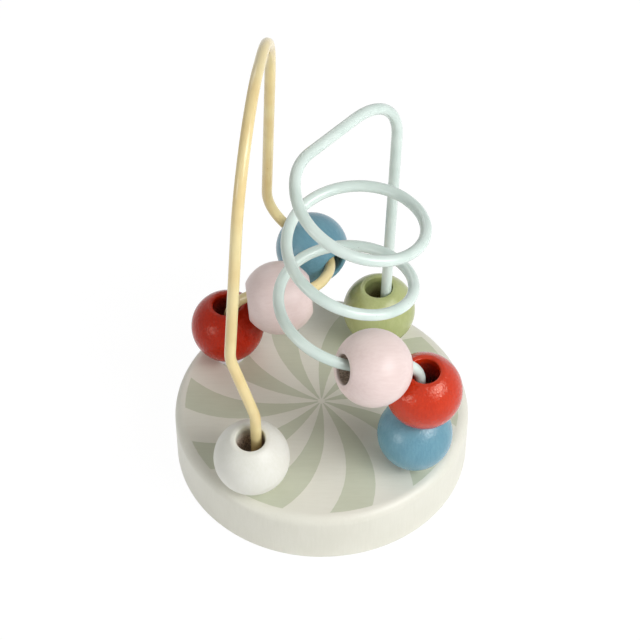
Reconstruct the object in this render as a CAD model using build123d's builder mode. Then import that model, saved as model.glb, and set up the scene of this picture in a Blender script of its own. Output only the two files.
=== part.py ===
from build123d import *
from math import acos, cos, degrees, pi, radians, sin, tan
import os

os.makedirs("parts", exist_ok=True)

# Wooden bead maze: a round base, two bent wires that stand in it, and eight beads that slide on them.
# The origin is the centre of the base's underside, Z is up and the front is towards -Y.

# Round wooden base
base_width = 100
base_thickness = 20
base_top_round = 3.3
base_foot_round = 0.8

# Coated steel wires, with their feet deep in the base
wire_width = 3.6
wire_depth = 15

# Plastic collars round the wire feet: a flange on the base and a stem down its hole
collar_width = 10.6
collar_thickness = 1.7
collar_edge_round = 0.5
stem_wall = 1.8
collar_edge_steps = 72

# Round wooden beads with flat ends and a wide bore
bead_width = 25
bead_length = 21.6
bead_bore = 9.6
bead_end_ring = 1.5
bead_rim_round = 0.5
bead_edge_round = 1.2
bead_bend_clearance = 0.5

# Gaps at rest: under a bead that stands on a collar, and from one bead to the next along a wire
rest_gap = 0.1
pink_left_gap = 0.3
blue_rear_gap = 3.7
red_right_gap = 1.2
pink_right_gap = 0.92

# Heights of the two wires above the base
yellow_rise = 143.3
mint_rise = 120

# Coil of the mint wire: it winds down from the back and drifts and leans as it goes
coil_radius = 20.48
coil_pitch = 25.04
coil_turns = 2.224
coil_start_angle = 180
coil_drift_x = -2.82
coil_drift_y = 0.13
coil_lead_in = 6.89
coil_lead_out = 6.56
coil_centre_share = (0.1252, -0.1236)
coil_top_share = 0.9415
coil_lean_x_share = -0.139
coil_lean_x_change_share = -0.019
coil_lean_y_share = 0.101
coil_lean_y_change_share = -0.075
coil_arcs_per_turn = 4

# A bead's half sizes, and the ball that its round side and the edges of its flat ends lie on
bore_radius = bead_bore / 2
face_radius = bore_radius + bead_end_ring
ball_radius = bead_width / 2
half_length = bead_length / 2
ball_angle = degrees(acos(face_radius / ball_radius))
ball_height = half_length / sin(radians(ball_angle))

# Levels, and the room that a bead has on its wire
collar_top = base_thickness + collar_thickness
bead_play = (bead_bore - wire_width) / 2

# The tightest bend that a bead slides round, from its length and the room in its bore
bend_room = 2 * (bead_play - bead_bend_clearance)
passing_bend = (half_length**2 + bend_room**2) / (2 * bend_room)

# Corners of the wires as shares of the base's width and of the wire's rise, each with its bend as a
# share of the passing bend, in order from the foot where the beads are stacked
yellow_foot_share = (-0.318, 0.229)
yellow_corner_shares = [
    (-0.318, 0.229, 0.2163, 0.960),
    (-0.0287, 0.2168, 0.2188, 1.040),
    (0.068, 0.4545, 0.1828, 1.029),
    (-0.1941, 0.5957, 0.2059, 1.122),
    (-0.155, 0.442, 0.9197, 2.754),
    (-0.225, -0.277, 1.0516, 2.281),
    (-0.286, -0.304, 0.4040, 1.052),
    (-0.212, -0.323, 0.2233, 1.102),
]
yellow_end_share = (-0.212, -0.323)
mint_foot_share = (0.3241, -0.2312)
mint_lower_shares = [(0.3241, -0.2312, 0.05, 0.706), (0.3104, -0.256, 0.4224, 0.859)]
mint_lead_out_bend_share = 1.636
mint_lead_in_bend_share = 1.134
mint_upper_shares = [(0.2449, 0.3088, 0.9744, 1.567), (0.217, 0.315, 0.075, 2.825)]
mint_end_share = (0.217, 0.315)
bend_fill_share = 0.98
rim_fill_share = 0.72

# Where each bead sits across its bore, as shares of the play there, and how a loose bead tips
white_play_share = (-0.533, -0.437, 0)
red_left_play_share = (-0.187, 0.523, 0)
pink_left_play_share = (-0.084, -0.271, -0.373)
blue_rear_play_share = (-0.663, -0.476, -0.093)
green_play_share = (-0.607, 0.247, 0)
blue_right_play_share = (-0.579, 0, 0)
red_right_play_share = (0.439, 0.149, 0.168)
pink_right_play_share = (-0.019, 0, -0.355)
level_share = (0, 0, 0)
white_tip_share = (-0.01, -0.088, 0)
green_tip_share = (-0.034, 0.026, 0)
red_right_tip_share = (0.049, -0.023, 0)
pink_right_tip_share = (0.028, -0.079, 0)


def place(share, height):
    """A point over the base from its shares of the base's width."""
    return Vector(share[0] * base_width, share[1] * base_width, height)


def corners(shares, rise):
    """The corner points of a wire, above the base, and the bends wanted there."""
    points = [place(row, base_thickness + row[2] * rise) for row in shares]
    bends = [row[3] * passing_bend for row in shares]
    return points, bends


def fitted_bends(points, bends):
    """The bends as wanted, or as large as the straight runs beside them allow."""
    cuts = [0]
    for before, corner, after, bend in zip(points, points[1:], points[2:], bends):
        turn = (corner - before).get_angle(after - corner)
        cuts.append(bend * tan(radians(turn / 2)))
    cuts.append(0)
    fill = []
    for start, end, cut, next_cut in zip(points, points[1:], cuts, cuts[1:]):
        fill.append(min(1, bend_fill_share * (end - start).length / (cut + next_cut)))
    return [bend * min(near, far) for bend, near, far in zip(bends, fill, fill[1:])]


def coil_leans(turns):
    """How steeply the coil leans along X and along Y, so many turns below its top."""
    lean_x = coil_lean_x_share + coil_lean_x_change_share * turns
    lean_y = coil_lean_y_share + coil_lean_y_change_share * turns
    return lean_x, lean_y


def coil_point(turns):
    """A point of the coil, so many turns below its top."""
    angle = radians(coil_start_angle) + 2 * pi * turns
    x = coil_radius * cos(angle)
    y = coil_radius * sin(angle)
    lean_x, lean_y = coil_leans(turns)
    centre = place(coil_centre_share, base_thickness + coil_top_share * mint_rise)
    drift = Vector(coil_drift_x, coil_drift_y, -coil_pitch) * turns
    return centre + drift + Vector(x, y, lean_x * x + lean_y * y)


def coil_heading(turns):
    """The way the wire runs at that point, downwards."""
    angle = radians(coil_start_angle) + 2 * pi * turns
    x = coil_radius * cos(angle)
    y = coil_radius * sin(angle)
    x_change = -y * 2 * pi
    y_change = x * 2 * pi
    lean_x, lean_y = coil_leans(turns)
    lean_change = coil_lean_x_change_share * x + coil_lean_y_change_share * y
    z_change = lean_x * x_change + lean_y * y_change + lean_change
    heading = Vector(coil_drift_x, coil_drift_y, -coil_pitch) + Vector(x_change, y_change, z_change)
    return heading.normalized()


def arc_joint(start, end, leaving, arriving):
    """The point where two arcs meet that join both ends along their headings."""
    chord = end - start
    both = leaving + arriving
    spread = 2 * (1 - leaving.dot(arriving))
    reach = ((chord.dot(both) ** 2 + spread * chord.dot(chord)) ** 0.5 - chord.dot(both)) / spread
    return (start + leaving * reach + end - arriving * reach) * 0.5


def along(path, distance):
    """The point of a wire's centre line at a distance from its first end."""
    return path.position_at(distance, position_mode=PositionMode.LENGTH)


def bead_plane(path, station, play_share, tip_share):
    """The plane across a bead whose middle is at a station of its wire."""
    ahead = along(path, station + half_length)
    behind = along(path, station - half_length)
    middle = along(path, station) + Vector(*play_share) * bead_play
    return Plane(origin=middle, z_dir=(ahead - behind).normalized() + Vector(*tip_share))


def foot_bead_plane(foot_share, play_share, tip_share=level_share):
    """The plane across a bead that stands on a collar, level or tipped."""
    foot = place(foot_share, collar_top + rest_gap)
    side = Vector(*play_share) * bead_play
    upright = Vector(0, 0, 1) + Vector(*tip_share)
    lifts = []
    for step in range(collar_edge_steps):
        angle = 2 * pi * step / collar_edge_steps
        edge = Vector(cos(angle), sin(angle)) * (collar_width / 2) - side
        if edge.length > bore_radius:
            lifts.append(edge.dot(upright))
    rise = half_length * upright.length + max(lifts, default=0)
    return Plane(origin=foot + side + Vector(0, 0, rise), z_dir=upright)


def bead_reach(plane, heading):
    """How far a bead reaches from its middle that way: to its round side or to a flat end."""
    lengthways = abs(plane.z_dir.dot(heading.normalized()))
    side = (1 - lengthways**2) / ball_radius**2 + lengthways**2 / ball_height**2
    return 1 / max(side**0.5, lengthways / half_length)


def next_bead_plane(path, before, play_share, gap, tip_share=level_share):
    """The plane across the first bead up the wire with that gap to the bead before."""
    low = wire_depth + collar_thickness + bead_length
    high = low + 3 * bead_width
    plane = before
    while high - low > rest_gap / 10:
        station = (low + high) / 2
        plane = bead_plane(path, station, play_share, tip_share)
        between = plane.origin - before.origin
        if between.length - bead_reach(before, between) - bead_reach(plane, between) < gap:
            low = station
        else:
            high = station
    return plane


# Base: a turned disc with a soft upper edge and a blind hole for each collar
stem_width = wire_width + 2 * stem_wall
foot_shares = {
    "collar_rear_left": yellow_foot_share,
    "collar_front_left": yellow_end_share,
    "collar_front_right": mint_foot_share,
    "collar_rear_right": mint_end_share,
}
wire_low = base_thickness - wire_depth
with BuildPart() as base:
    Cylinder(base_width / 2, base_thickness, align=(Align.CENTER, Align.CENTER, Align.MIN))
    fillet(base.edges().sort_by(Axis.Z)[-1], base_top_round)
    fillet(base.edges().sort_by(Axis.Z)[0], base_foot_round)
    for foot_share in foot_shares.values():
        with BuildSketch(Plane(origin=place(foot_share, base_thickness))):
            Circle(stem_width / 2)
        extrude(amount=-wire_depth, mode=Mode.SUBTRACT)
base.part.label = "base"
export_step(base.part, "parts/base.step")

# Collars: a thin round flange on a stem, with the wire's hole through both
for name, foot_share in foot_shares.items():
    with BuildPart() as collar:
        with BuildSketch(Plane(origin=place(foot_share, base_thickness))):
            Circle(collar_width / 2)
        extrude(amount=collar_thickness)
        fillet(collar.edges().group_by(Axis.Z)[-1], collar_edge_round)
        with BuildSketch(Plane(origin=place(foot_share, wire_low))):
            Circle(stem_width / 2)
        extrude(amount=wire_depth)
        with BuildSketch(Plane(origin=place(foot_share, wire_low))):
            Circle(wire_width / 2)
        extrude(amount=wire_depth + collar_thickness, mode=Mode.SUBTRACT)
    collar.part.label = name
    export_step(collar.part, f"parts/{name}.step")

# Yellow wire: up from the rear left foot, round the low run at the back, over the arch and down in front
corner_points, wanted_bends = corners(yellow_corner_shares, yellow_rise)
yellow_points = [place(yellow_foot_share, wire_low), *corner_points, place(yellow_end_share, wire_low)]
with BuildPart() as yellow_wire:
    with BuildLine() as yellow_path:
        FilletPolyline(*yellow_points, radius=fitted_bends(yellow_points, wanted_bends))
    with BuildSketch(Plane(origin=yellow_points[0])):
        Circle(wire_width / 2)
    sweep(path=yellow_path.wire())
yellow_wire.part.label = "yellow_wire"
export_step(yellow_wire.part, "parts/yellow_wire.step")

# Mint wire, first stretch: up from the front right foot and over to the coil's lower end
corner_points, wanted_bends = corners(mint_lower_shares, mint_rise)
coil_low = coil_point(coil_turns)
coil_high = coil_point(0)
lead_out = coil_low + coil_heading(coil_turns) * coil_lead_out
lower_points = [place(mint_foot_share, wire_low), *corner_points, lead_out, coil_low]
lower_bends = [*wanted_bends, mint_lead_out_bend_share * passing_bend]

# Last stretch: from the coil's top over the arch and down to the rear right foot
corner_points, wanted_bends = corners(mint_upper_shares, mint_rise)
lead_in = coil_high - coil_heading(0) * coil_lead_in
upper_points = [coil_high, lead_in, *corner_points, place(mint_end_share, wire_low)]
upper_bends = [mint_lead_in_bend_share * passing_bend, *wanted_bends]

# The coil between them: pairs of arcs up from its lower end
step_count = round(coil_turns * coil_arcs_per_turn)
with BuildPart() as mint_wire:
    with BuildLine() as mint_path:
        FilletPolyline(*lower_points, radius=fitted_bends(lower_points, lower_bends))
        for step in range(step_count, 0, -1):
            turns_low = coil_turns * step / step_count
            turns_high = coil_turns * (step - 1) / step_count
            start = coil_point(turns_low)
            end = coil_point(turns_high)
            leaving = coil_heading(turns_low) * -1
            arriving = coil_heading(turns_high) * -1
            joint = arc_joint(start, end, leaving, arriving)
            first_arc = TangentArc(start, joint, tangent=leaving)
            TangentArc(joint, end, tangent=first_arc % 1)
        FilletPolyline(*upper_points, radius=fitted_bends(upper_points, upper_bends))
    with BuildSketch(Plane(origin=lower_points[0])):
        Circle(wire_width / 2)
    sweep(path=mint_path.wire())
mint_wire.part.label = "mint_wire"
export_step(mint_wire.part, "parts/mint_wire.step")

# The mint wire's least gap to itself, from points along it that lie at least half a turn apart
mint_line = mint_path.wire()
point_count = round(mint_line.length / wire_width)
points_per_half_turn = round(pi * coil_radius / wire_width)
mint_points = [along(mint_line, mint_line.length * step / point_count) for step in range(point_count + 1)]
self_gaps = []
for number, point in enumerate(mint_points):
    for far_point in mint_points[number + points_per_half_turn :]:
        self_gaps.append((far_point - point).length - wire_width)
print("mint wire, least gap to itself", round(min(self_gaps), 2))

# Beads: where each one lies on its wire
yellow_line = yellow_path.wire()
red_left = foot_bead_plane(yellow_foot_share, red_left_play_share)
pink_left = next_bead_plane(yellow_line, red_left, pink_left_play_share, pink_left_gap)
blue_rear = next_bead_plane(yellow_line, pink_left, blue_rear_play_share, blue_rear_gap)
blue_right = foot_bead_plane(mint_foot_share, blue_right_play_share)
red_right = next_bead_plane(
    mint_line, blue_right, red_right_play_share, red_right_gap, red_right_tip_share
)
pink_right = next_bead_plane(
    mint_line, red_right, pink_right_play_share, pink_right_gap, pink_right_tip_share
)
bead_planes = {
    "white_bead": foot_bead_plane(yellow_end_share, white_play_share, white_tip_share),
    "red_bead_left": red_left,
    "pink_bead_left": pink_left,
    "blue_bead_rear": blue_rear,
    "green_bead": foot_bead_plane(mint_end_share, green_play_share, green_tip_share),
    "blue_bead_right": blue_right,
    "red_bead_right": red_right,
    "pink_bead_right": pink_right,
}

# Each bead: a turned ball with two flat end rings, a bore through them and softly rounded edges
rim_round = min(bead_rim_round, rim_fill_share * bead_end_ring)
for name, plane in bead_planes.items():
    section = Plane(origin=plane.origin, x_dir=plane.x_dir, z_dir=plane.y_dir * -1)
    with BuildPart() as bead:
        with BuildSketch(section) as profile:
            with BuildLine():
                EllipticalCenterArc(
                    (0, 0), ball_radius, ball_height, start_angle=-ball_angle, arc_size=2 * ball_angle
                )
                Polyline(
                    (face_radius, half_length),
                    (bore_radius, half_length),
                    (bore_radius, -half_length),
                    (face_radius, -half_length),
                )
            make_face()
            fillet(profile.vertices().group_by(Axis.X)[0], rim_round)
            fillet(profile.vertices().group_by(Axis.X)[-1], bead_edge_round)
        revolve(axis=Axis(plane.origin, plane.z_dir))
    bead.part.label = name
    export_step(bead.part, f"parts/{name}.step")
    print(name, plane.origin, plane.z_dir)
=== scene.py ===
from math import acos, cos, pi, radians, sin

import bpy
import numpy as np
from mathutils import Matrix, Vector, noise


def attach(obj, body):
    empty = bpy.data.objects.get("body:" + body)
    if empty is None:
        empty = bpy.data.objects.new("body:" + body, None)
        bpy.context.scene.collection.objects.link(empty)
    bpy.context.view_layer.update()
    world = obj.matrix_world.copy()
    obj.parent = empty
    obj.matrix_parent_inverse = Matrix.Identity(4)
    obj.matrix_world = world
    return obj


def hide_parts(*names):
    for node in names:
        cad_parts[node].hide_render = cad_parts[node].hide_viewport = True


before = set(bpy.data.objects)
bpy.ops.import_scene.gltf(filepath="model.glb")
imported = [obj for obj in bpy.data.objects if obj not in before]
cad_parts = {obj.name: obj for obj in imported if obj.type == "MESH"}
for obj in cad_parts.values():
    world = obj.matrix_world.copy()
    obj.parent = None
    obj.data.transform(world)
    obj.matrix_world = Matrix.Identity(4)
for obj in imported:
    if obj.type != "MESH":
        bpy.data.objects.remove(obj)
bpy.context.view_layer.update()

mm = 0.001


def colour(red, green, blue):
    # a paint chip's screen values, 0 to 255, as the linear colour that shaders take
    steps = [value / 255 for value in (red, green, blue)]
    return tuple(v / 12.92 if v < 0.04045 else ((v + 0.055) / 1.055) ** 2.4 for v in steps) + (1.0,)


white = colour(255, 255, 255)


# small helpers for node trees; widths and depths in them are in millimetres

def plug(tree, value, socket):
    # a number, a colour or another node's output goes into the socket
    if isinstance(value, bpy.types.NodeSocket):
        tree.links.new(value, socket)
    else:
        socket.default_value = value


def calc(tree, operation, *values):
    node = tree.nodes.new("ShaderNodeMath")
    node.operation = operation
    for value, socket in zip(values, node.inputs):
        plug(tree, value, socket)
    return node.outputs[0]


def vectorCalc(tree, operation, *values):
    node = tree.nodes.new("ShaderNodeVectorMath")
    node.operation = operation
    for value, socket in zip(values, node.inputs):
        plug(tree, value, socket)
    return node.outputs[0]


def distance(tree, x, y):
    squares = calc(tree, "ADD", calc(tree, "MULTIPLY", x, x), calc(tree, "MULTIPLY", y, y))
    return calc(tree, "SQRT", squares)


def fade(tree, value, start, end, low=0.0, high=1.0):
    # smooth change from low to high as the value goes from start to end
    node = tree.nodes.new("ShaderNodeMapRange")
    node.interpolation_type = "SMOOTHSTEP"
    for given, socket in zip((value, start, end, low, high), node.inputs):
        plug(tree, given, socket)
    return node.outputs[0]


def mixColours(tree, share, first, second):
    node = tree.nodes.new("ShaderNodeMix")
    node.data_type = "RGBA"
    plug(tree, share, node.inputs["Factor"])
    plug(tree, first, node.inputs["A"])
    plug(tree, second, node.inputs["B"])
    return node.outputs["Result"]


def carried(tree, name, part="Fac"):
    # what the mesh itself carries under that name
    node = tree.nodes.new("ShaderNodeAttribute")
    node.attribute_name = name
    return node.outputs[part]


def placeOn(tree, shift=(0, 0, 0)):
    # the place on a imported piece, in millimetres
    spot = tree.nodes.new("ShaderNodeTexCoord")
    return vectorCalc(tree, "MULTIPLY_ADD", spot.outputs["Object"], (1 / mm, 1 / mm, 1 / mm), shift)


def speckle(tree, place, width, detail=3, rough=0.5, run=(1, 1, 1)):
    # cloudy noise whose lumps are about that wide, times their run each way
    node = tree.nodes.new("ShaderNodeTexNoise")
    node.inputs["Scale"].default_value = 1.0
    node.inputs["Detail"].default_value = detail
    node.inputs["Roughness"].default_value = rough
    scaled = vectorCalc(tree, "MULTIPLY", place, [1 / (width * way) for way in run])
    tree.links.new(scaled, node.inputs["Vector"])
    return node.outputs["Fac"]


def uneven(tree, noisy, middle, spread):
    # a value that wanders with the noise, by half the spread each way
    return calc(tree, "MULTIPLY_ADD", noisy, spread, middle - spread / 2)


def raised(tree, height, depth, before=None):
    # bump from a height between 0 and 1, on top of the one before
    node = tree.nodes.new("ShaderNodeBump")
    node.inputs["Strength"].default_value = 1.0
    node.inputs["Distance"].default_value = depth * mm
    plug(tree, height, node.inputs["Height"])
    if before is not None:
        tree.links.new(before, node.inputs["Normal"])
    return node.outputs[0]


def newFinish(name):
    finish = bpy.data.materials.new(name)
    finish.use_nodes = True
    tree = finish.node_tree
    tree.nodes.clear()
    shader = tree.nodes.new("ShaderNodeBsdfPrincipled")
    output = tree.nodes.new("ShaderNodeOutputMaterial")
    tree.links.new(shader.outputs[0], output.inputs["Surface"])
    return finish, tree, shader


# wooden beads

bead = {
    "width": 25.0,
    "length": 21.6,
    "bore": 9.6,
    "endRing": 1.5,          # flat ring round each mouth
    "rimRound": 0.5,
    "edgeRound": 1.2,        # where the ball meets the flat ring
    "edgeOnRing": 0.27,      # share of that round that lies on the ring
    "outOfRound": 0.05,      # hand sanding
    "sandingEven": 0.5,      # even part of it, under its waves
    "sandingWaves": 0.11,    # for each mm
    "sandingSeedStep": 7.0,
    "raggedness": 0.35,      # how much the paint's edge in the bore wanders, as a share of its reach
    "slowWaves": 1.7,
    "slowSeedStep": 9,
    "quickWaves": 9,
    "quickShare": 0.4,
    "quickSeedStep": 5,
    "mouthSeeds": (0, 4),    # the two mouths differ
    "paintFilm": 0.1,        # step from the paint to the bare wood
    "filmSlope": 0.12,
    "covers": (1.0, 0.95, 0.75, 0.4),  # paint halfway to its edge, on it, past the step, in the blend
    "sides": 144,
    "arcSteps": 40,
    "edgeSteps": 5,
    "rimSteps": 12,
    "boreSteps": 8,
}

halfLength = bead["length"] / 2
ballRadius = bead["width"] / 2
boreRadius = bead["bore"] / 2
faceRadius = boreRadius + bead["endRing"]
mouth = halfLength - bead["rimRound"]


def beadPose(node):
    # middle and bore direction of a bead in the frame, from its surface
    mesh = node.data
    mesh.calc_loop_triangles()
    points = np.array([v.co for v in mesh.vertices])
    corners = points[np.array([t.vertices for t in mesh.loop_triangles])]
    centres = corners.mean(axis=1)
    areas = np.linalg.norm(np.cross(corners[:, 1] - corners[:, 0], corners[:, 2] - corners[:, 0]), axis=1)
    middle = (centres * areas[:, None]).sum(axis=0) / areas.sum()
    spread = ((centres - middle) * areas[:, None]).T @ (centres - middle)
    sizes, ways = np.linalg.eigh(spread)
    # two of the three spreads are alike, and the odd one out is along the bore
    odd = 0 if sizes[1] - sizes[0] > sizes[2] - sizes[1] else 2
    bore = Vector(ways[:, odd])
    return Vector(middle), bore if bore.z > 0 else -bore


def ballSide():
    # the round side from its low end to its top one: radius and height
    ballTurn = acos(faceRadius / ballRadius)
    ballHeight = halfLength / sin(ballTurn)
    edgeTurn = ballTurn - bead["edgeRound"] / 2 / ballHeight
    steps = bead["arcSteps"]
    turns = [edgeTurn * step / steps for step in range(-steps, steps + 1)]
    return [(ballRadius * cos(turn), ballHeight * sin(turn)) for turn in turns]


def ballEnd(lastRadius, lastHeight):
    # from the ball over the eased edge and the flat ring into the rounded mouth
    flatRadius = faceRadius - bead["edgeRound"] * bead["edgeOnRing"]
    line = []
    for step in range(1, bead["edgeSteps"]):
        share = step / bead["edgeSteps"]
        ball, corner, flat = (1 - share) ** 2, 2 * share * (1 - share), share ** 2
        radius = ball * lastRadius + corner * faceRadius + flat * flatRadius
        line.append((radius, ball * lastHeight + corner * halfLength + flat * halfLength))
    for step in range(bead["rimSteps"] + 1):
        turn = pi / 2 * step / bead["rimSteps"]
        radius = boreRadius + bead["rimRound"] * (1 - sin(turn))
        line.append((radius, halfLength - bead["rimRound"] * (1 - cos(turn))))
    return line


def paintReaches(angle, facts):
    # how far the paint runs into the top mouth and the low one, at one angle round the bore
    around = Vector((cos(angle), sin(angle), 0))
    reaches = []
    for mouthSeed in bead["mouthSeeds"]:
        slowPlace = Vector((0, 0, bead["slowSeedStep"] * facts["seed"] + mouthSeed))
        quickPlace = Vector((0, 0, bead["quickSeedStep"] * facts["seed"] + mouthSeed))
        slow = noise.noise(around * bead["slowWaves"] + slowPlace)
        quick = noise.noise(around * bead["quickWaves"] + quickPlace)
        wander = bead["raggedness"] * (slow + bead["quickShare"] * quick)
        reaches.append(facts["reach"] * (1 + wander))
    return reaches


def paintEnd(reach, blend):
    # from a mouth inwards, round the paint's edge: radius, depth below the mouth and paint cover
    bare = boreRadius + bead["paintFilm"]
    radii = boreRadius, boreRadius, bare, bare
    depths = reach / 2, reach, reach + bead["filmSlope"], reach + blend / 2
    return list(zip(radii, depths, bead["covers"]))


def boreLine(angle, facts):
    # down the bore from the top mouth to the low one: radius, height and paint cover
    topReach, lowReach = paintReaches(angle, facts)
    blend = facts["blend"]
    line = [(radius, mouth - depth, cover) for radius, depth, cover in paintEnd(topReach, blend)]
    start, stop = mouth - topReach - blend, lowReach + blend - mouth
    for step in range(bead["boreSteps"] + 1):
        height = start + (stop - start) * step / bead["boreSteps"]
        line.append((boreRadius + bead["paintFilm"], height, 0.0))
    low = [(radius, depth - mouth, cover) for radius, depth, cover in paintEnd(lowReach, blend)]
    return line + low[::-1]


def beadSection(angle, facts):
    # the closed outline at one angle round the bore: radius, height and paint cover
    side = ballSide()
    end = ballEnd(*side[-1])
    top = [(radius, height, 1.0) for radius, height in side + end]
    under = [(radius, -height, 1.0) for radius, height in reversed(end)]
    return top + boreLine(angle, facts) + under


def sanded(spot, radius, seed):
    # the ball is a hair flatter here and there, and never fuller than its size
    if radius <= faceRadius:
        return spot
    waves = noise.noise(spot * bead["sandingWaves"] + Vector((seed * bead["sandingSeedStep"], 0, 0)))
    dent = bead["outOfRound"] * (bead["sandingEven"] + waves)
    return spot * (1 - max(0.0, dent) / ballRadius)


# each colour fresh and in the hollows of the grain; peel is the width and depth of its bumps, and
# stain how much of it has soaked into the bare wood
warmShine = colour(255, 232, 214)
paints = {
    "white": {
        "fresh": colour(234, 234, 226), "deep": colour(230, 230, 220), "stain": 0.4,
        "gloss": 0.38, "shine": 0.30, "shineTint": white, "peel": (1.2, 0.015),
    },
    "red": {
        "fresh": colour(205, 50, 14), "deep": colour(194, 43, 11), "stain": 0.9,
        "gloss": 0.13, "shine": 0.46, "shineTint": warmShine, "peel": (0.95, 0.22),
    },
    # the same red paint as the right bead's, painted darker as painted shade, because this bead sits in its
    # neighbours' shade
    "shadedRed": {
        "fresh": colour(186, 38, 10), "deep": colour(174, 32, 8), "stain": 0.9,
        "gloss": 0.20, "shine": 0.24, "shineTint": warmShine, "peel": (0.95, 0.22),
    },
    "pink": {
        "fresh": colour(236, 217, 213), "deep": colour(230, 209, 205), "stain": 0.1,
        "gloss": 0.36, "shine": 0.40, "shineTint": white, "peel": (1.2, 0.015),
    },
    "blue": {
        "fresh": colour(109, 159, 177), "deep": colour(100, 150, 170), "stain": 0.95,
        "gloss": 0.20, "shine": 0.42, "shineTint": white, "peel": (0.75, 0.16),
    },
    "green": {
        "fresh": colour(177, 185, 127), "deep": colour(168, 177, 117), "stain": 0.9,
        "gloss": 0.22, "shine": 0.44, "shineTint": white, "peel": (1.2, 0.04),
    },
}

paintSkin = {
    "grainWidth": 0.8,
    "grainRun": (1, 1, 9),   # grain runs along the bore, so its lines are long that way
    "grainDepth": 0.003,
    "cloudWidth": 9,
    "toneSpan": (0.36, 0.66),
    "dullWidth": 3.2,
    "glossSpread": 0.12,
    "peelRun": (1, 1, 1.4),
    "lumpWidth": 5.0,
    "lumpDepth": 0.02,
    "seedShift": (31, 17, 11),
}

# bare wood in the bores
boreWood = {
    "light": colour(222, 204, 190),
    "dark": colour(164, 143, 130),
    "toneSpan": (0.35, 0.65),
    "fibreWidth": 0.5,
    "fibreRun": (1, 1, 1.5),
    "fibreDepth": 0.12,
    "fibreSpread": 0.5,      # how much the fibres break up the paint where it thins out
    "coverSpan": (0.1, 0.9),
}


def soakedWood(tree, fibres, paint):
    # bare wood with some of the paint in it
    soaked = [1 - paint["stain"] + paint["stain"] * part for part in paint["fresh"]]
    light = [part * soak for part, soak in zip(boreWood["light"], soaked)]
    dark = [part * soak for part, soak in zip(boreWood["dark"], soaked)]
    return mixColours(tree, fade(tree, fibres, *boreWood["toneSpan"]), light, dark)


def beadFinish(name, paint, seed):
    finish, tree, shader = newFinish(name + "_paint")
    shift = [seed * step for step in paintSkin["seedShift"]]
    place = vectorCalc(tree, "ADD", carried(tree, "turnedSpot", "Vector"), shift)
    grain = speckle(tree, place, paintSkin["grainWidth"], run=paintSkin["grainRun"])
    cloud = speckle(tree, place, paintSkin["cloudWidth"], detail=2)
    tone = calc(tree, "MULTIPLY", calc(tree, "ADD", grain, cloud), 0.5)
    painted = mixColours(tree, fade(tree, tone, *paintSkin["toneSpan"]), paint["fresh"], paint["deep"])
    fibres = speckle(tree, place, boreWood["fibreWidth"], detail=4, rough=0.6, run=boreWood["fibreRun"])
    patchy = uneven(tree, fibres, 0.0, boreWood["fibreSpread"])
    covered = fade(tree, calc(tree, "ADD", carried(tree, "paintCover"), patchy), *boreWood["coverSpan"])
    wood = soakedWood(tree, fibres, paint)
    plug(tree, mixColours(tree, covered, wood, painted), shader.inputs["Base Color"])
    dull = speckle(tree, place, paintSkin["dullWidth"])
    plug(tree, uneven(tree, dull, paint["gloss"], paintSkin["glossSpread"]), shader.inputs["Roughness"])
    shader.inputs["Specular IOR Level"].default_value = paint["shine"]
    shader.inputs["Specular Tint"].default_value = paint["shineTint"]
    peelWidth, peelDepth = paint["peel"]
    peel = speckle(tree, place, peelWidth, detail=2, run=paintSkin["peelRun"])
    lump = speckle(tree, place, paintSkin["lumpWidth"], detail=1)
    bareFibres = calc(tree, "MULTIPLY", fibres, calc(tree, "SUBTRACT", 1.0, covered))
    skin = raised(tree, bareFibres, boreWood["fibreDepth"])
    skin = raised(tree, lump, paintSkin["lumpDepth"], skin)
    skin = raised(tree, grain, paintSkin["grainDepth"], skin)
    plug(tree, raised(tree, peel, peelDepth, skin), shader.inputs["Normal"])
    return finish


# reach is how far the paint runs down the bore below the rounded mouth, and blend how long it takes to
# thin out below that
beads = {
    "white_bead": {
        "paint": "white", "slot": "white_paint", "body": "white_bead_body",
        "turn": 20, "seed": 1, "reach": 1.6, "blend": 5.0,
    },
    # this bead wears the red painted darker, as painted shade
    "red_bead_left": {
        "paint": "shadedRed", "slot": "red_paint", "body": "red_bead_left_body",
        "turn": 75, "seed": 2, "reach": 1.2, "blend": 6.0,
    },
    "pink_bead_left": {
        "paint": "pink", "slot": "pink_paint", "body": "pink_bead_left_body",
        "turn": 140, "seed": 3, "reach": 1.0, "blend": 1.5,
    },
    "blue_bead_rear": {
        "paint": "blue", "slot": "blue_paint", "body": "blue_bead_rear_body",
        "turn": 10, "seed": 4, "reach": 0.3, "blend": 1.0,
    },
    "green_bead": {
        "paint": "green", "slot": "green_paint", "body": "green_bead_body",
        "turn": 200, "seed": 5, "reach": 2.4, "blend": 7.0,
    },
    "blue_bead_right": {
        "paint": "blue", "slot": "blue_paint", "body": "blue_bead_right_body",
        "turn": 250, "seed": 6, "reach": 1.5, "blend": 2.5,
    },
    "red_bead_right": {
        "paint": "red", "slot": "red_paint", "body": "red_bead_right_body",
        "turn": 300, "seed": 7, "reach": 2.4, "blend": 8.0,
    },
    "pink_bead_right": {
        "paint": "pink", "slot": "pink_paint", "body": "pink_bead_right_body",
        "turn": 35, "seed": 8, "reach": 0.3, "blend": 0.5,
    },
}


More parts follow.
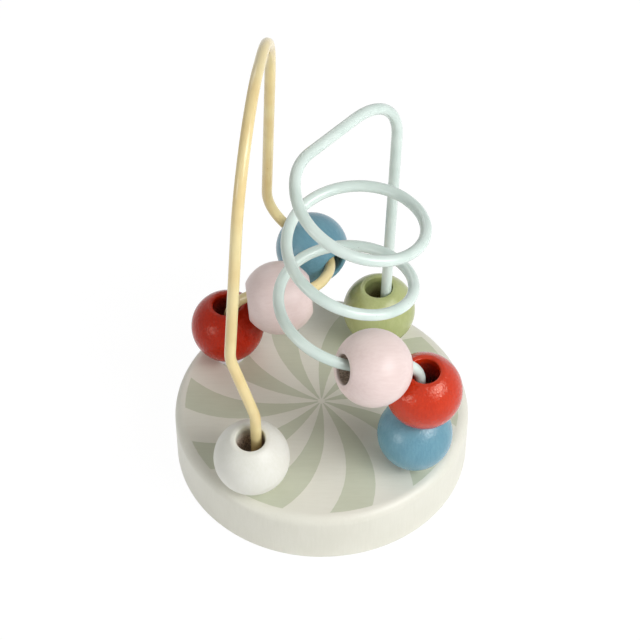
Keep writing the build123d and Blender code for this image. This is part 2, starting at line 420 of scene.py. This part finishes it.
def makeBead(name, facts):
    middle, bore = beadPose(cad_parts[name])
    alongBore = bore.to_track_quat("Z", "Y").to_matrix().to_4x4()
    pose = Matrix.Translation(middle) @ (alongBore @ Matrix.Rotation(radians(facts["turn"]), 4, "Z"))
    points, faces, covers, spots = [], [], [], []
    sides = bead["sides"]
    for side in range(sides):
        angle = 2 * pi * side / sides
        for radius, height, cover in beadSection(angle, facts):
            spot = sanded(Vector((radius * cos(angle), radius * sin(angle), height)), radius, facts["seed"])
            points.append(pose @ (spot * mm))
            covers.append(cover)
            spots.extend(spot)
    count = len(points) // sides
    for side in range(sides):
        here, there = side * count, (side + 1) % sides * count
        for step in range(count):
            after = (step + 1) % count
            faces.append((here + step, there + step, there + after, here + after))
    mesh = bpy.data.meshes.new(name + "_turned")
    mesh.from_pydata(points, [], faces)
    mesh.polygons.foreach_set("use_smooth", [True] * len(faces))
    mesh.attributes.new("paintCover", "FLOAT", "POINT").data.foreach_set("value", covers)
    mesh.attributes.new("turnedSpot", "FLOAT_VECTOR", "POINT").data.foreach_set("vector", spots)
    mesh.update()
    piece = bpy.data.objects.new(name + "_turned", mesh)
    bpy.context.scene.collection.objects.link(piece)
    piece.data.materials.append(beadFinish(name, paints[facts["paint"]], facts["seed"]))
    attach(piece, facts["body"])
    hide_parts(name)


for name, facts in beads.items():
    makeBead(name, facts)
print("beads turned:", len(beads))


# coated wires

wires = {
    "yellow_wire": {
        "fresh": colour(240, 223, 167), "deep": colour(232, 208, 149), "scuff": colour(120, 104, 70),
        "shift": (39, 5, 21),
    },
    "mint_wire": {
        "fresh": colour(220, 234, 228), "deep": colour(206, 223, 216), "scuff": colour(160, 174, 168),
        "shift": (117, 5, 63),
    },
}

wireCoat = {
    "cloudWidth": 14,
    "toneSpan": (0.35, 0.7),
    "nickWidth": 1.3,
    "nickSpan": (0.77, 0.80),  # only the highest spots of the noise are nicks
    "nickShare": 0.35,
    "dullWidth": 2.0,
    "gloss": 0.18,
    "glossSpread": 0.12,
    "peel": (2.0, 0.004),
}


def wireFinish(name, facts):
    finish, tree, shader = newFinish(name + "_coat")
    place = placeOn(tree, facts["shift"])
    cloud = speckle(tree, place, wireCoat["cloudWidth"])
    coat = mixColours(tree, fade(tree, cloud, *wireCoat["toneSpan"]), facts["fresh"], facts["deep"])
    nick = fade(tree, speckle(tree, place, wireCoat["nickWidth"], detail=1), *wireCoat["nickSpan"])
    worn = mixColours(tree, calc(tree, "MULTIPLY", nick, wireCoat["nickShare"]), coat, facts["scuff"])
    plug(tree, worn, shader.inputs["Base Color"])
    dull = speckle(tree, place, wireCoat["dullWidth"])
    plug(tree, uneven(tree, dull, wireCoat["gloss"], wireCoat["glossSpread"]), shader.inputs["Roughness"])
    peelWidth, peelDepth = wireCoat["peel"]
    plug(tree, raised(tree, speckle(tree, place, peelWidth, detail=1), peelDepth), shader.inputs["Normal"])
    return finish


def dress(name, finish):
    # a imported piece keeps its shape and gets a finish
    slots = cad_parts[name].data.materials
    slots.clear()
    slots.append(finish)


for name, facts in wires.items():
    dress(name, wireFinish(name, facts))
print("wires coated")


# plastic collars round the wire feet

collars = {
    "fresh": colour(236, 235, 240),
    "deep": colour(224, 222, 231),
    "cloudWidth": 5,
    "dullWidth": 1.4,
    "gloss": 0.38,
    "glossSpread": 0.1,
    "peel": (0.5, 0.006),
    "milkiness": 0.15,
    "lightDepth": 2.0,       # how deep light goes into the milky plastic
}


def collarFinish():
    finish, tree, shader = newFinish("collar_plastic")
    place = placeOn(tree)
    cloud = speckle(tree, place, collars["cloudWidth"])
    plug(tree, mixColours(tree, cloud, collars["fresh"], collars["deep"]), shader.inputs["Base Color"])
    dull = speckle(tree, place, collars["dullWidth"])
    plug(tree, uneven(tree, dull, collars["gloss"], collars["glossSpread"]), shader.inputs["Roughness"])
    peelWidth, peelDepth = collars["peel"]
    plug(tree, raised(tree, speckle(tree, place, peelWidth, detail=2), peelDepth), shader.inputs["Normal"])
    shader.inputs["Subsurface Weight"].default_value = collars["milkiness"]
    shader.inputs["Subsurface Radius"].default_value = [collars["lightDepth"] * mm] * 3
    return finish


collarPlastic = collarFinish()
for name in ("collar_front_left", "collar_front_right", "collar_rear_left", "collar_rear_right"):
    dress(name, collarPlastic)
print("collars dressed")


# round base with its painted swirl

base = {
    "thickness": 20.0,
    "swirlRadius": 46.5,
    "rays": 10,
    "rayShare": 0.475,       # of the way from one ray to the next
    "centre": (-0.1, 1.25),
    "firstEdge": -85.65,     # degrees at the rim
    "bend": (0.827, -0.00777, -0.000007),  # degrees for each mm inwards, its square and its cube
    "plainDot": (1.0, 1.4),  # the rays fade out between these radii round the centre
    "paintedDepth": (0.6, 0.4),  # and between these depths below the top
    "rayBlur": 0.08,
    "rimBlur": 0.1,
    "edgeWander": 0.3,       # printed edges wander by a hair
    "edgeWanderWidth": 1.5,
    "cream": colour(231, 230, 218),
    "creamDeep": colour(226, 225, 212),
    "sage": colour(203, 207, 186),
    "sageDeep": colour(197, 201, 179),
    "topGrainWidth": 0.9,
    "topGrainRun": (9, 1, 1),    # board grain runs along x on top
    "sideGrainWidth": 0.7,
    "sideGrainRun": (1, 1, 10),  # and the turned side has short upright fibres
    "grainDepth": 0.005,
    "cloudWidth": 16,
    "cloudDepth": 0.06,
    "toneShares": (0.4, 0.6),    # of the grain and of the cloud
    "toneSpan": (0.36, 0.66),
    "dullWidth": 3.0,
    "gloss": 0.42,
    "glossSpread": 0.12,
    "peel": (0.8, 0.006),
}


def swirlBend(tree, radius):
    # how far a ray has turned by that radius, in degrees, on its way in from the rim
    inwards = calc(tree, "SUBTRACT", base["swirlRadius"], radius)
    linear, square, cube = base["bend"]
    bend = calc(tree, "MULTIPLY_ADD", inwards, cube, square)
    bend = calc(tree, "MULTIPLY_ADD", bend, inwards, linear)
    return calc(tree, "MULTIPLY", bend, inwards)


def swirlRays(tree, place, onTop):
    # 1 on the sage rays, 0 between them and off the top
    numbers = tree.nodes.new("ShaderNodeSeparateXYZ")
    tree.links.new(place, numbers.inputs[0])
    x, y = numbers.outputs["X"], numbers.outputs["Y"]
    wander = uneven(tree, speckle(tree, place, base["edgeWanderWidth"]), 0.0, base["edgeWander"])
    across = calc(tree, "SUBTRACT", x, base["centre"][0])
    along = calc(tree, "SUBTRACT", y, base["centre"][1])
    radius = distance(tree, across, along)
    angle = calc(tree, "DEGREES", calc(tree, "ARCTAN2", along, across))
    every = 360 / base["rays"]
    start = base["firstEdge"] + every * base["rayShare"] / 2 - every / 2
    unbent = calc(tree, "SUBTRACT", calc(tree, "SUBTRACT", angle, start), swirlBend(tree, radius))
    turns = calc(tree, "FRACT", calc(tree, "DIVIDE", unbent, every))
    # how far inside the nearest ray's edge, in mm
    offMiddle = calc(tree, "ABSOLUTE", calc(tree, "SUBTRACT", turns, 0.5))
    inside = calc(tree, "MULTIPLY", calc(tree, "SUBTRACT", base["rayShare"] / 2, offMiddle), radians(every))
    inside = calc(tree, "MULTIPLY_ADD", inside, radius, wander)
    ray = fade(tree, inside, -base["rayBlur"], base["rayBlur"])
    rim, rimBlur = base["swirlRadius"], base["rimBlur"]
    fromMiddle = calc(tree, "ADD", distance(tree, x, y), wander)
    ray = calc(tree, "MULTIPLY", ray, fade(tree, fromMiddle, rim - rimBlur, rim + rimBlur, 1.0, 0.0))
    return calc(tree, "MULTIPLY", ray, calc(tree, "MULTIPLY", onTop, fade(tree, radius, *base["plainDot"])))


def topOnly(tree, place):
    # 1 on the flat top of the base, 0 round its side
    numbers = tree.nodes.new("ShaderNodeSeparateXYZ")
    tree.links.new(place, numbers.inputs[0])
    low, high = [base["thickness"] - depth for depth in base["paintedDepth"]]
    return fade(tree, numbers.outputs["Z"], low, high)


def baseGrain(tree, place, onTop):
    top = speckle(tree, place, base["topGrainWidth"], detail=5, rough=0.6, run=base["topGrainRun"])
    side = speckle(tree, place, base["sideGrainWidth"], detail=4, rough=0.6, run=base["sideGrainRun"])
    onSide = calc(tree, "SUBTRACT", 1.0, onTop)
    return calc(tree, "ADD", calc(tree, "MULTIPLY", top, onTop), calc(tree, "MULTIPLY", side, onSide))


def baseFinish():
    finish, tree, shader = newFinish("base_paint")
    place = placeOn(tree)
    onTop = topOnly(tree, place)
    grain = baseGrain(tree, place, onTop)
    cloud = speckle(tree, place, base["cloudWidth"])
    weighed = [calc(tree, "MULTIPLY", part, share) for part, share in zip((grain, cloud), base["toneShares"])]
    tone = fade(tree, calc(tree, "ADD", *weighed), *base["toneSpan"])
    cream = mixColours(tree, tone, base["cream"], base["creamDeep"])
    sage = mixColours(tree, tone, base["sage"], base["sageDeep"])
    plug(tree, mixColours(tree, swirlRays(tree, place, onTop), cream, sage), shader.inputs["Base Color"])
    dull = speckle(tree, place, base["dullWidth"])
    plug(tree, uneven(tree, dull, base["gloss"], base["glossSpread"]), shader.inputs["Roughness"])
    peelWidth, peelDepth = base["peel"]
    skin = raised(tree, cloud, base["cloudDepth"])
    skin = raised(tree, grain, base["grainDepth"], skin)
    skin = raised(tree, speckle(tree, place, peelWidth, detail=2), peelDepth, skin)
    plug(tree, skin, shader.inputs["Normal"])
    return finish


dress("base", baseFinish())
print("base painted")


# floor, light and camera, in metres

studio = {
    "floorSize": 6.0,
    "floorRings": 40,
    "floorSides": 96,
    "floor": colour(246, 246, 246),
    "floorWhiteness": 0.92,  # how far the camera sees plain white instead of the lit floor
    "floorGlow": 1.045,
    "sky": 0.19,
    "skyTint": (1.0, 0.985, 0.95, 1.0),
    "target": (0.0, 0.0, 0.05),
}

# level 1 lights a white card that faces the lamp to plain white
lamps = {
    "key": {"from": (0.66, -0.43, 0.62), "distance": 1.1, "size": (0.90, 0.70), "level": 0.79},
    "keyCore": {"from": (0.67, -0.43, 0.60), "distance": 1.0, "size": (0.24, 0.16), "level": 0.12},
    "fill": {"from": (-0.76, -0.60, 0.26), "distance": 1.2, "size": (0.50, 0.40), "level": 0.22},
    "back": {"from": (-0.35, 0.75, 0.50), "distance": 1.2, "size": (0.70, 0.50), "level": 0.14},
}

view = {
    "target": (0.0, 0.0, 0.060),
    "distance": 0.700,
    "elevation": 47.76,
    "lens": 120.43,
    "sensor": 36,
    "shift": (-0.00266, 0.00766),
    "clip": (0.01, 20),
}


def seenRays(tree):
    # 1 where the surroundings are looked at, straight or in a shine, and 0 where they only give light
    ray = tree.nodes.new("ShaderNodeLightPath")
    shine = calc(tree, "MAXIMUM", ray.outputs["Is Glossy Ray"], ray.outputs["Is Transmission Ray"])
    return calc(tree, "MAXIMUM", ray.outputs["Is Camera Ray"], shine)


def floorMesh():
    # rings of faces that get wider towards the far edge
    rings, sides = studio["floorRings"], studio["floorSides"]
    points = [(0.0, 0.0, 0.0)]
    for ring in range(1, rings + 1):
        reach = studio["floorSize"] / 2 * (ring / rings) ** 2
        for side in range(sides):
            angle = 2 * pi * side / sides
            points.append((reach * cos(angle), reach * sin(angle), 0.0))
    faces = [(0, 1 + side, 1 + (side + 1) % sides) for side in range(sides)]
    for ring in range(rings - 1):
        low, high = 1 + ring * sides, 1 + (ring + 1) * sides
        for side in range(sides):
            after = (side + 1) % sides
            faces.append((low + side, high + side, high + after, low + after))
    mesh = bpy.data.meshes.new("studio_floor")
    mesh.from_pydata(points, [], faces)
    return mesh


def makeFloor():
    floor = bpy.data.objects.new("studio_floor", floorMesh())
    bpy.context.scene.collection.objects.link(floor)
    finish, tree, shader = newFinish("studio_floor")
    shader.inputs["Base Color"].default_value = studio["floor"]
    shader.inputs["Roughness"].default_value = 1.0
    shader.inputs["Specular IOR Level"].default_value = 0.0
    glow = tree.nodes.new("ShaderNodeEmission")
    glow.inputs["Strength"].default_value = studio["floorGlow"]
    both = tree.nodes.new("ShaderNodeMixShader")
    plug(tree, calc(tree, "MULTIPLY", seenRays(tree), studio["floorWhiteness"]), both.inputs[0])
    tree.links.new(shader.outputs[0], both.inputs[1])
    tree.links.new(glow.outputs[0], both.inputs[2])
    output = next(node for node in tree.nodes if node.type == "OUTPUT_MATERIAL")
    tree.links.new(both.outputs[0], output.inputs["Surface"])
    floor.data.materials.append(finish)


def makeSky():
    world = bpy.data.worlds.new("studio")
    world.use_nodes = True
    tree = world.node_tree
    tree.nodes.clear()
    seen = seenRays(tree)
    back = tree.nodes.new("ShaderNodeBackground")
    plug(tree, mixColours(tree, seen, studio["skyTint"], white), back.inputs["Color"])
    plug(tree, calc(tree, "MULTIPLY_ADD", seen, 1 - studio["sky"], studio["sky"]), back.inputs["Strength"])
    output = tree.nodes.new("ShaderNodeOutputWorld")
    tree.links.new(back.outputs[0], output.inputs["Surface"])
    bpy.context.scene.world = world


def makeLamp(name, facts):
    lamp = bpy.data.lights.new(name, "AREA")
    lamp.shape = "RECTANGLE"
    lamp.size, lamp.size_y = facts["size"]
    lamp.energy = facts["level"] * pi ** 2 * facts["distance"] ** 2
    holder = bpy.data.objects.new(name, lamp)
    bpy.context.scene.collection.objects.link(holder)
    way = Vector(facts["from"]).normalized()
    holder.location = Vector(studio["target"]) + way * facts["distance"]
    holder.rotation_euler = way.to_track_quat("Z", "Y").to_euler()


def makeCamera():
    camera = bpy.data.cameras.new("camera")
    camera.lens = view["lens"]
    camera.sensor_width = view["sensor"]
    camera.shift_x, camera.shift_y = view["shift"]
    camera.clip_start, camera.clip_end = view["clip"]
    holder = bpy.data.objects.new("camera", camera)
    bpy.context.scene.collection.objects.link(holder)
    up = radians(view["elevation"])
    holder.location = Vector(view["target"]) + Vector((0, -cos(up), sin(up))) * view["distance"]
    holder.rotation_euler = (pi / 2 - up, 0, 0)
    bpy.context.scene.camera = holder


makeFloor()
makeSky()
for name, facts in lamps.items():
    makeLamp(name, facts)
makeCamera()
bpy.context.scene.view_settings.view_transform = "Standard"
print("studio set")
